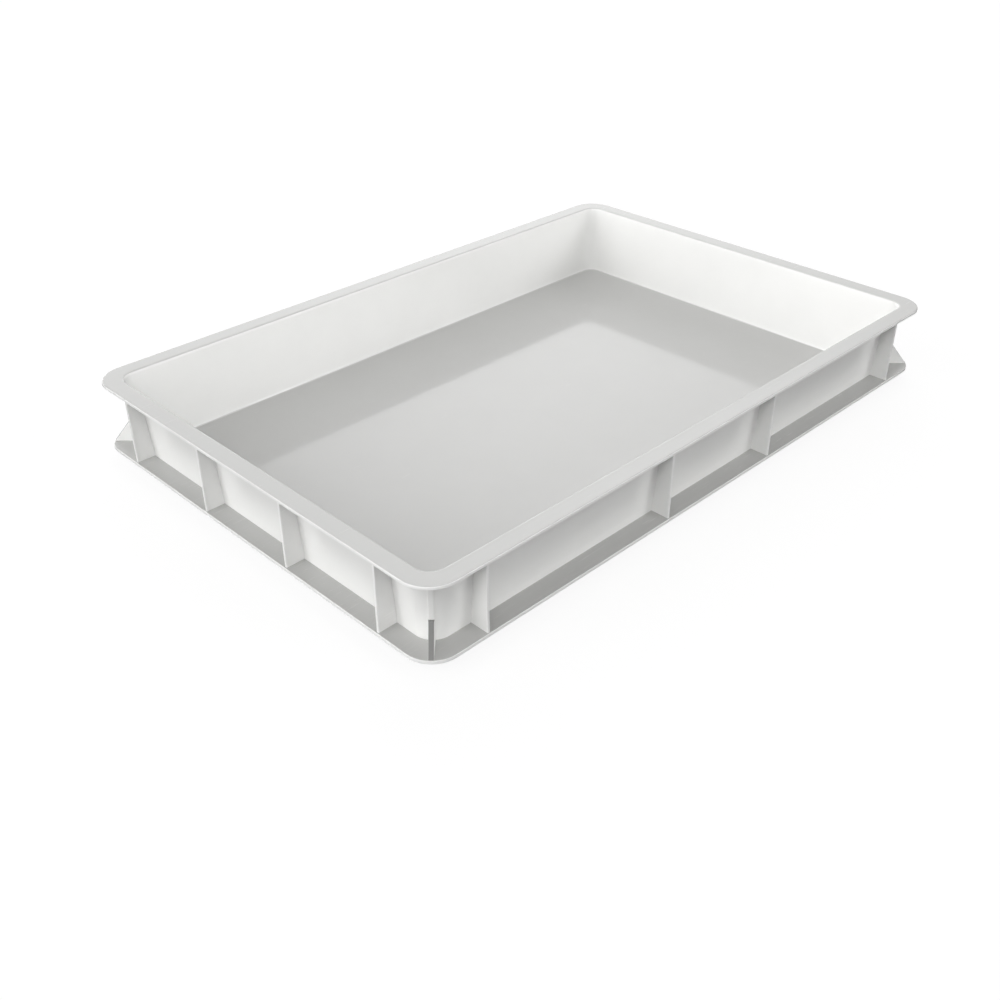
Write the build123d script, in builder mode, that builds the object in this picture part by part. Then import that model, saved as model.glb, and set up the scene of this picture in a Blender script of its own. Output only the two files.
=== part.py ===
"""Stackable dough proofing box in the 600 x 400 mm bakery format.

The box is one plastic moulding. It is modelled as the members of that moulding: a drafted tub,
the rim flange round its mouth, the base flange round its foot, the upright ribs between the two
flanges, and a gusset on the diagonal of each corner. The tub's bottom stands out below the base
flange as a step that drops into the mouth of the box underneath.

The frame has its origin in the middle of the underside, +X along the box, +Z up, in millimetres.
"""

import os
from math import radians, sqrt, tan

from build123d import *

# Overall size
overall_length = 600.0
overall_width = 400.0
overall_height = 70.0

# Tub: floor, drafted walls and stacking step
wall_setback = 17.3  # from the rim's outer edge to the wall's outer face, at the underside
wall_thickness = 3.0
floor_thickness = 3.0
draft_angle = 4.0
tub_corner_radius = 15.5  # outer face of the wall
foot_radius = 5.0  # outer edge between wall and underside
floor_radius = 2.5  # inner edge between wall and floor

# Rim flange
rim_thickness = 2.4
rim_corner_radius = 24.0
rim_edge_radius = 0.8
lip_land = 0.2  # straight part of the inner edge, below the round lip that turns down into the wall

# Base flange: it has the rim's footprint, so that it rests on the rim of the box underneath
step_depth = 10.0  # how far the tub stands out below the flange
flange_thickness = 2.8
flange_corner_radius = 22.5
flange_edge_radius = 0.6

# Ribs
rib_thickness = 2.2
rib_edge_radius = 0.4
rib_clearance = 0.4  # from the base flange's round edge to the ribs' outer edge
end_rib_distance = 51.4  # from the rim's outer edge to the middle of the nearest rib round the corner
long_middle_bay = 127.2  # between the two middle ribs of a long side
short_middle_bay = 99.4  # between the two middle ribs of a short side

# Corner gussets, and the low web that runs from each one up to the rim
gusset_thickness = 3.8
gusset_height = 18.7  # above the base flange
gusset_top_depth = 3.0  # out of the wall, along the corner's diagonal
gusset_edge_radius = 0.5
corner_web_depth = 0.9  # out of the wall, along the corner's diagonal

# Levels and outlines that follow from the sizes above
draft_slope = tan(radians(draft_angle))
lip_radius = rim_thickness - lip_land
flange_top = step_depth + flange_thickness
rim_underside = overall_height - rim_thickness
rib_setback = flange_edge_radius + rib_clearance  # from the rim's outer edge to the ribs'
largest_rounded_share = 0.4  # of a wall's thickness, on each of its two edges


def wall_setback_at(level):
    """Distance from the rim's outer edge to the wall's outer face at a level."""
    return wall_setback - level * draft_slope


def wall_size(level, inward=0.0):
    """Length and width of the tub's outer face at a level, or of a face inside it."""
    setback = wall_setback_at(level) + inward
    return overall_length - 2 * setback, overall_width - 2 * setback


def corner_depth(setback, radius):
    """Distance along the diagonal from the sharp corner of the rim's outline to a round corner."""
    return sqrt(2) * setback + (sqrt(2) - 1) * radius


def wall_depth(level):
    """The same distance to the wall's outer face at a level."""
    return corner_depth(wall_setback_at(level), tub_corner_radius)


def edge_radius(wanted, wall):
    """The radius of an outer edge, limited so that part of the wall's own edge stays flat."""
    return min(wanted, wall * largest_rounded_share)


def slanted_edges(piece):
    """The edges that aren't level, such as the four corner edges of a drafted block."""
    return piece.edges().filter_by(Plane.XY, reverse=True)


def upright_plane(origin, outward):
    """A vertical plane through a point, with its first direction outward and its second one up."""
    side = Vector(outward).cross(Vector(0, 0, 1))
    return Plane(origin=origin, x_dir=outward, z_dir=side)


def write(piece, name):
    """Label a finished piece and write it as a node of its own."""
    piece.part.label = name
    export_step(piece.part, f"parts/{name}.step")


os.makedirs("parts", exist_ok=True)

# Outer form of the tub: a drafted block, which is also cut out of the pieces that fit round it
with BuildPart() as outer_form:
    with BuildSketch(Plane.XY):
        Rectangle(*wall_size(0))
    extrude(amount=rim_underside, taper=-draft_angle)
    fillet(slanted_edges(outer_form), radius=tub_corner_radius)

# Cavity: a block of the same draft, which hollows the tub and opens the rim
with BuildPart() as cavity:
    with BuildSketch(Plane.XY.offset(floor_thickness)):
        Rectangle(*wall_size(floor_thickness, inward=wall_thickness))
    extrude(amount=overall_height - floor_thickness, taper=-draft_angle)
    fillet(slanted_edges(cavity), radius=tub_corner_radius - wall_thickness)
    fillet(cavity.faces().sort_by(Axis.Z)[0].edges(), radius=floor_radius)

# Tub shell: the outer form with a round foot, hollowed so that the wall is even all round
with BuildPart() as tub_shell:
    add(outer_form.part)
    fillet(tub_shell.faces().sort_by(Axis.Z)[0].edges(), radius=foot_radius)
    add(cavity.part, mode=Mode.SUBTRACT)
write(tub_shell, "tub_shell")

# Rim flange: it lies on the top of the wall, its lip turns down into the inner face, and its outer
# edge is round above and square below, where the mould parts
with BuildPart() as rim_flange:
    with BuildSketch(Plane.XY.offset(rim_underside)):
        RectangleRounded(overall_length, overall_width, rim_corner_radius)
    extrude(amount=rim_thickness)
    top_edges = rim_flange.edges().group_by(Axis.Z)[-1]
    fillet(top_edges, radius=edge_radius(rim_edge_radius, rim_thickness))
    add(cavity.part, mode=Mode.SUBTRACT)
    rim_face = rim_flange.faces().filter_by(Plane.XY).sort_by(Axis.Z)[-1]
    fillet(rim_face.inner_wires().edges(), radius=lip_radius)
write(rim_flange, "rim_flange")

# Base flange: a flat ring that fits the taper of the wall, with the same kind of outer edge
with BuildPart() as base_flange:
    with BuildSketch(Plane.XY.offset(step_depth)):
        RectangleRounded(overall_length, overall_width, flange_corner_radius)
    extrude(amount=flange_thickness)
    top_edges = base_flange.edges().group_by(Axis.Z)[-1]
    fillet(top_edges, radius=edge_radius(flange_edge_radius, flange_thickness))
    add(outer_form.part, mode=Mode.SUBTRACT)
write(base_flange, "base_flange")

# Ribs: upright webs between the flanges, straight outside and following the wall's draft inside
long_ribs = [overall_length / 2 - end_rib_distance, long_middle_bay / 2]
short_ribs = [overall_width / 2 - end_rib_distance, short_middle_bay / 2]
sides = [
    ("front", Vector(0, -1, 0), overall_width / 2, long_ribs),
    ("rear", Vector(0, 1, 0), overall_width / 2, long_ribs),
    ("left", Vector(-1, 0, 0), overall_length / 2, short_ribs),
    ("right", Vector(1, 0, 0), overall_length / 2, short_ribs),
]
for side_name, outward, rim_reach, (end_rib, middle_rib) in sides:
    along = Vector(abs(outward.Y), abs(outward.X), 0)
    for number, place in enumerate((-end_rib, -middle_rib, middle_rib, end_rib), start=1):
        with BuildPart() as rib:
            with BuildSketch(upright_plane(along * place, outward)):
                with BuildLine():
                    Polyline(
                        (rim_reach - wall_setback_at(flange_top), flange_top),
                        (rim_reach - rib_setback, flange_top),
                        (rim_reach - rib_setback, rim_underside),
                        (rim_reach - wall_setback_at(rim_underside), rim_underside),
                        close=True,
                    )
                make_face()
            extrude(amount=rib_thickness / 2, both=True)
            fillet(rib.edges().filter_by(Axis.Z), radius=edge_radius(rib_edge_radius, rib_thickness))
        write(rib, f"{side_name}_rib_{number}")

# Gussets: plates on the corner diagonals with a low web above, cut to the round corner of the wall
gusset_top = flange_top + gusset_height
gusset_toe = corner_depth(0, flange_corner_radius) + flange_edge_radius
gusset_root = wall_depth(0) + wall_thickness  # behind the wall's outer face at every level
corners = [("front_left", -1, -1), ("front_right", 1, -1), ("rear_left", -1, 1), ("rear_right", 1, 1)]
for corner_name, x_side, y_side in corners:
    sharp_corner = Vector(x_side * overall_length / 2, y_side * overall_width / 2, 0)
    diagonal_plane = upright_plane(sharp_corner, Vector(x_side, y_side, 0).normalized())
    with BuildPart() as gusset:
        with BuildSketch(diagonal_plane):
            with BuildLine():
                Polyline(
                    (-gusset_root, flange_top),
                    (-gusset_toe, flange_top),
                    (gusset_top_depth - wall_depth(gusset_top), gusset_top),
                    (corner_web_depth - wall_depth(gusset_top), gusset_top),
                    (corner_web_depth - wall_depth(rim_underside), rim_underside),
                    (-gusset_root, rim_underside),
                    close=True,
                )
            make_face()
        extrude(amount=gusset_thickness / 2, both=True)
        fillet(slanted_edges(gusset), radius=edge_radius(gusset_edge_radius, gusset_thickness))
        add(outer_form.part, mode=Mode.SUBTRACT)
    write(gusset, f"{corner_name}_gusset")
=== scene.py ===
import math

import bpy
from mathutils import Euler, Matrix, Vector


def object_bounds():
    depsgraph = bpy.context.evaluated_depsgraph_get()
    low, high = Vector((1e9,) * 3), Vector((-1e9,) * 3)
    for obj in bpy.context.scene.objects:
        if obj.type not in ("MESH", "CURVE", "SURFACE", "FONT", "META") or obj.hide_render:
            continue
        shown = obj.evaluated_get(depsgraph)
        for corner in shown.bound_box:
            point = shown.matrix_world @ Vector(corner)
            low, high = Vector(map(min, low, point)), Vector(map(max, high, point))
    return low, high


# Looks of the box: a plastic for each kind of member, a plain pale studio and the camera
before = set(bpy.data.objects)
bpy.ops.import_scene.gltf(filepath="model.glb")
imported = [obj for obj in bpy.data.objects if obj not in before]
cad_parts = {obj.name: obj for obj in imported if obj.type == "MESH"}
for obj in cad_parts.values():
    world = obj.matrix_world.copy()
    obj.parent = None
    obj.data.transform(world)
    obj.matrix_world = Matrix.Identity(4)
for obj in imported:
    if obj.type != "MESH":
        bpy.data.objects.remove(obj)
cad_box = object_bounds()

# Camera: place and angles in the part's frame, in metres and degrees
CAMERA_PLACE = (-0.6448, -0.6087, 0.4870)
CAMERA_ANGLES = (56.807, 0.104, -44.845)
CAMERA_LENS_MM = 41.385
SENSOR_MM = 36.0
CAMERA_REACH = 50.0

# Soft lights round the box: azimuth and elevation in degrees, sharpness of the edge, strength
SOFT_LIGHTS = {
    "left": (160, 30, 12, 2.6),
    "left_low": (160, 8, 12, 2.7),
    "front_high": (220, 50, 40, 6.5),
    "front_low": (240, 8, 40, 4.1),
    "right": (300, 22, 40, 8.0),
    "rear": (40, 35, 12, 2.4),
    "rear_low": (60, 5, 12, 1.4),
    "rear_left": (80, 8, 40, 8.0),
}
NEUTRAL = (1, 1, 1, 1)

# Backdrop and floor: one pale tone without a horizon, and a floor that light also passes up through
BACKDROP_TONE = 0.985
FLOOR_HALF_SIZE = 6.0
FLOOR_ALBEDO = (0.12, 0.12, 0.12, 1)
FLOOR_GLOW = 0.9

# Plastic: its plain colours, and the greys of painted shade that darken surfaces facing up: the tops,
# the base flange under the rim, and darkest the gussets' sloping fronts
PLASTIC_WHITE = (0.91, 0.91, 0.897, 1)
# Ribs: a slightly darker white than the plain white, painted shade of the recesses between them
RIB_PAINTED_SHADE_WHITE = (0.885, 0.885, 0.873, 1)
# Outer edges: a whiter white, a painted highlight
EDGE_HIGHLIGHT_WHITE = (0.96, 0.96, 0.95, 1)
PAINTED_SHADE_GREY = (0.555, 0.555, 0.545, 1)
FLANGE_PAINTED_SHADE_GREY = (0.46, 0.46, 0.45, 1)
GUSSET_PAINTED_SHADE_GREY = (0.18, 0.18, 0.175, 1)
PLASTIC_IOR = 1.49

# Upward part of a normal at which the painted shade grey starts and is full, on level and on sloping
# surfaces
LEVEL = (0.6, 0.95)
SLOPED = (0.3, 0.5)

# Outer edges painted whiter as a painted highlight: the outline's corner radius, and the distances
# in from the outline at which the highlight starts and is full
OUTLINE_RADIUS = 0.023
HIGHLIGHT_START = 0.0022
HIGHLIGHT_FULL = 0.0012

# Surface detail: sizes in metres, and shares of the colour or the roughness
NONE_TO_FULL = (0.0, 1.0)
NOISE_MIDDLE = (0.3, 0.7)
MOTTLE_SIZE = 0.045
MOTTLE_TINT = (0.98, 1.0)
MOTTLE_GREY = (0.94, 1.0)
SHEEN_PATCH_SIZE = 0.018
SHEEN_SPREAD = (-0.01, 0.02)
PEEL_SIZE = 0.0025
PEEL_HEIGHT = 0.00001
SCRATCH_WIDTH = 0.0007
SCRATCH_STRETCH = 40.0
SCRATCH_HEIGHT = 0.00001
SCRATCH_PEAKS = (0.66, 0.74)
SCRATCH_DULLNESS = 0.15

# Grain of the noises: how many finer layers each one has, and how strong each layer is
MOTTLE_GRAIN = (3.0, 0.55)
SHEEN_GRAIN = (4.0, 0.6)
FINE_GRAIN = (2.0, 0.5)

# Plastic of each kind of member, named by the word in its nodes' names. Its grey is painted shade on
# surfaces that face up, and its whiter outer edges are a painted highlight. Scratches run at the given
# angles in degrees
PLASTICS = {
    "tub": {
        "roughness": 0.08,
        "white": PLASTIC_WHITE,
        "painted_shade_grey": PAINTED_SHADE_GREY,
        "facing_up": LEVEL,
        "scratch_turns": (15, 75, 130),
        "painted_edge_highlight": False,
    },
    "rim": {
        "roughness": 0.14,
        "white": PLASTIC_WHITE,
        "painted_shade_grey": PAINTED_SHADE_GREY,
        "facing_up": LEVEL,
        "scratch_turns": (0, 90),
        "painted_edge_highlight": True,
    },
    "base": {
        "roughness": 0.2,
        "white": PLASTIC_WHITE,
        "painted_shade_grey": FLANGE_PAINTED_SHADE_GREY,
        "facing_up": LEVEL,
        "scratch_turns": (20, 110),
        "painted_edge_highlight": True,
    },
    "rib": {
        "roughness": 0.18,
        "white": RIB_PAINTED_SHADE_WHITE,
        "painted_shade_grey": PAINTED_SHADE_GREY,
        "facing_up": LEVEL,
        "scratch_turns": (90,),
        "painted_edge_highlight": True,
    },
    "gusset": {
        "roughness": 0.45,
        "white": PLASTIC_WHITE,
        "painted_shade_grey": GUSSET_PAINTED_SHADE_GREY,
        "facing_up": SLOPED,
        "scratch_turns": (90,),
        "painted_edge_highlight": False,
    },
}


def make_camera():
    """The camera at the photo's viewing angle, with everything in focus."""
    data = bpy.data.cameras.new("camera")
    data.sensor_width = SENSOR_MM
    data.lens = CAMERA_LENS_MM
    data.clip_end = CAMERA_REACH
    data.dof.use_dof = False
    camera = bpy.data.objects.new("camera", data)
    camera.location = CAMERA_PLACE
    camera.rotation_euler = Euler([math.radians(angle) for angle in CAMERA_ANGLES])
    bpy.context.scene.collection.objects.link(camera)
    bpy.context.scene.camera = camera


def add_node(tree, kind, settings=None, **inputs):
    """A new node with its settings, and its inputs set to values or linked to other nodes' outputs.

    An input goes by its name, with _ for a space, or by its number, as in _0.
    """
    node = tree.nodes.new(kind)
    for name, value in (settings or {}).items():
        setattr(node, name, value)
    for name, value in inputs.items():
        number = name[1:]
        socket = node.inputs[int(number) if number.isdigit() else name.replace("_", " ")]
        if isinstance(value, bpy.types.NodeSocket):
            tree.links.new(value, socket)
        else:
            socket.default_value = value
    return node


def math_node(tree, operation, first, second):
    return add_node(tree, "ShaderNodeMath", {"operation": operation}, _0=first, _1=second).outputs[0]


def vector_math(tree, operation, first, second=(0, 0, 0)):
    return add_node(tree, "ShaderNodeVectorMath", {"operation": operation}, _0=first, _1=second)


def remap(tree, value, source, target):
    """A value carried from one range to another, and held at the ends."""
    node = add_node(
        tree,
        "ShaderNodeMapRange",
        Value=value,
        From_Min=source[0],
        From_Max=source[1],
        To_Min=target[0],
        To_Max=target[1],
    )
    return node.outputs[0]


def mix_colour(tree, blend, share, first, second):
    """Two colours mixed. The node's colours are its inputs 6 and 7 and its output 2."""
    settings = {"data_type": "RGBA", "blend_type": blend}
    return add_node(tree, "ShaderNodeMix", settings, _0=share, _6=first, _7=second).outputs[2]


def noise(tree, place, size, grain):
    detail, roughness = grain
    texture = add_node(
        tree,
        "ShaderNodeTexNoise",
        Vector=place,
        Scale=1 / size,
        Detail=detail,
        Roughness=roughness,
    )
    return texture.outputs["Fac"]


def soft_light(tree, direction, azimuth, elevation, sharpness, strength):
    """One large soft light: brightest in its middle and fading smoothly to nothing."""
    turn = math.radians(azimuth)
    rise = math.radians(elevation)
    middle = (math.cos(turn) * math.cos(rise), math.sin(turn) * math.cos(rise), math.sin(rise))
    facing = vector_math(tree, "DOT_PRODUCT", direction, middle).outputs["Value"]
    lit = math_node(tree, "MAXIMUM", facing, 0.0)
    return math_node(tree, "MULTIPLY", math_node(tree, "POWER", lit, sharpness), strength)


def make_world():
    """The soft lights all round, and behind the box a plain backdrop that lights nothing."""
    world = bpy.data.worlds.new("studio")
    bpy.context.scene.world = world
    world.use_nodes = True
    tree = world.node_tree
    direction = add_node(tree, "ShaderNodeTexCoord").outputs["Generated"]
    total = 0.0
    for settings in SOFT_LIGHTS.values():
        total = math_node(tree, "ADD", soft_light(tree, direction, *settings), total)
    seen = add_node(tree, "ShaderNodeLightPath").outputs["Is Camera Ray"]
    lights = add_node(tree, "ShaderNodeBackground", Color=NEUTRAL, Strength=total).outputs[0]
    backdrop = add_node(tree, "ShaderNodeBackground", Color=NEUTRAL, Strength=BACKDROP_TONE).outputs[0]
    both = add_node(tree, "ShaderNodeMixShader", _0=seen, _1=lights, _2=backdrop)
    tree.links.new(both.outputs[0], tree.nodes["World Output"].inputs["Surface"])


def make_floor():
    """A plain pale floor. The lights shine through it, and it shows only a faint shadow."""
    half = FLOOR_HALF_SIZE
    corners = [(-half, -half, 0), (half, -half, 0), (half, half, 0), (-half, half, 0)]
    mesh = bpy.data.meshes.new("studio_floor")
    mesh.from_pydata(corners, [], [(0, 1, 2, 3)])
    material = bpy.data.materials.new("studio_floor")
    material.use_nodes = True
    finish = {
        "Base Color": FLOOR_ALBEDO,
        "Roughness": 1.0,
        "Specular IOR Level": 0.0,
        "Emission Color": NEUTRAL,
        "Emission Strength": FLOOR_GLOW,
    }
    shader = material.node_tree.nodes["Principled BSDF"]
    for name, value in finish.items():
        shader.inputs[name].default_value = value
    mesh.materials.append(material)
    floor = bpy.data.objects.new("studio_floor", mesh)
    floor.visible_diffuse = False
    floor.visible_glossy = False
    floor.visible_transmission = False
    floor.visible_shadow = False
    bpy.context.scene.collection.objects.link(floor)


def scratches(tree, place, turn):
    """Thin marks in one direction on a level surface, where a stretched noise has its peaks."""
    stretched = add_node(
        tree,
        "ShaderNodeMapping",
        Vector=place,
        Rotation=(0, 0, math.radians(turn)),
        Scale=(1 / SCRATCH_STRETCH, 1, 1),
    )
    lines = noise(tree, stretched.outputs[0], SCRATCH_WIDTH, FINE_GRAIN)
    return remap(tree, lines, SCRATCH_PEAKS, NONE_TO_FULL)


def highlighted_outline(tree, place):
    """The share of the painted edge highlight: full along the box's outline, seen from above, and none
    further in.
    """
    length_reach, width_reach, top = cad_box[1]
    arc_middle = (length_reach - OUTLINE_RADIUS, width_reach - OUTLINE_RADIUS, top)
    quarter = vector_math(tree, "ABSOLUTE", place).outputs["Vector"]
    past = vector_math(tree, "SUBTRACT", quarter, arc_middle).outputs["Vector"]
    outward = vector_math(tree, "MAXIMUM", past, (0, 0, 0)).outputs["Vector"]
    reach = vector_math(tree, "LENGTH", outward).outputs["Value"]
    return remap(tree, reach, (OUTLINE_RADIUS - HIGHLIGHT_START, OUTLINE_RADIUS - HIGHLIGHT_FULL), NONE_TO_FULL)


def make_plastic(name, roughness, white, painted_shade_grey, facing_up, scratch_turns, painted_edge_highlight):
    """White moulded plastic: greyer where it faces up as painted shade, whiter outer edges as a painted
    highlight when asked, with patchy gloss, orange peel and scratches.
    """
    material = bpy.data.materials.new(name)
    material.use_nodes = True
    tree = material.node_tree
    shader = tree.nodes["Principled BSDF"]
    place = add_node(tree, "ShaderNodeTexCoord").outputs["Object"]

    # Colour: grey as painted shade where the surface faces up, in uneven patches; whiter outer edges as
    # a painted highlight; and a faint mottling over all
    normal = add_node(tree, "ShaderNodeNewGeometry").outputs["True Normal"]
    upward = add_node(tree, "ShaderNodeSeparateXYZ", Vector=normal).outputs["Z"]
    patches = noise(tree, place, MOTTLE_SIZE, MOTTLE_GRAIN)
    uneven = remap(tree, patches, NOISE_MIDDLE, MOTTLE_GREY)
    # painted shade: the share of grey rises as the surface faces up
    painted_shade_share = math_node(tree, "MULTIPLY", remap(tree, upward, facing_up, NONE_TO_FULL), uneven)
    if painted_edge_highlight:
        # painted highlight: the white turns whiter along the outer outline
        white = mix_colour(tree, "MIX", highlighted_outline(tree, place), white, EDGE_HIGHLIGHT_WHITE)
    colour = mix_colour(tree, "MIX", painted_shade_share, white, painted_shade_grey)
    mottle = remap(tree, patches, NOISE_MIDDLE, MOTTLE_TINT)
    tree.links.new(mix_colour(tree, "MULTIPLY", 1.0, colour, mottle), shader.inputs["Base Color"])

    # Gloss: patchy, and duller along the scratches
    marks = 0.0
    for turn in scratch_turns:
        marks = math_node(tree, "ADD", scratches(tree, place, turn), marks)
    sheen = noise(tree, place, SHEEN_PATCH_SIZE, SHEEN_GRAIN)
    patchy = remap(tree, sheen, NOISE_MIDDLE, [roughness + change for change in SHEEN_SPREAD])
    dulled = math_node(tree, "MULTIPLY", marks, SCRATCH_DULLNESS)
    tree.links.new(math_node(tree, "ADD", patchy, dulled), shader.inputs["Roughness"])
    shader.inputs["IOR"].default_value = PLASTIC_IOR

    # Relief: the orange peel of the mould's skin, with the scratches cut into it
    peel = noise(tree, place, PEEL_SIZE, FINE_GRAIN)
    skin = add_node(tree, "ShaderNodeBump", Strength=1.0, Distance=PEEL_HEIGHT, Height=peel).outputs[0]
    cut = add_node(
        tree,
        "ShaderNodeBump",
        {"invert": True},
        Strength=1.0,
        Distance=SCRATCH_HEIGHT,
        Height=marks,
        Normal=skin,
    )
    tree.links.new(cut.outputs[0], shader.inputs["Normal"])
    return material


# Every node keeps its shape and takes the plastic of its kind
materials = {kind: make_plastic(f"{kind}_plastic", **finish) for kind, finish in PLASTICS.items()}
for name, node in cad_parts.items():
    kind = next(word for word in name.split("_") if word in materials)
    node.data.materials.clear()
    node.data.materials.append(materials[kind])

# Studio
make_camera()
make_floor()
make_world()
bpy.context.scene.view_settings.view_transform = "Standard"
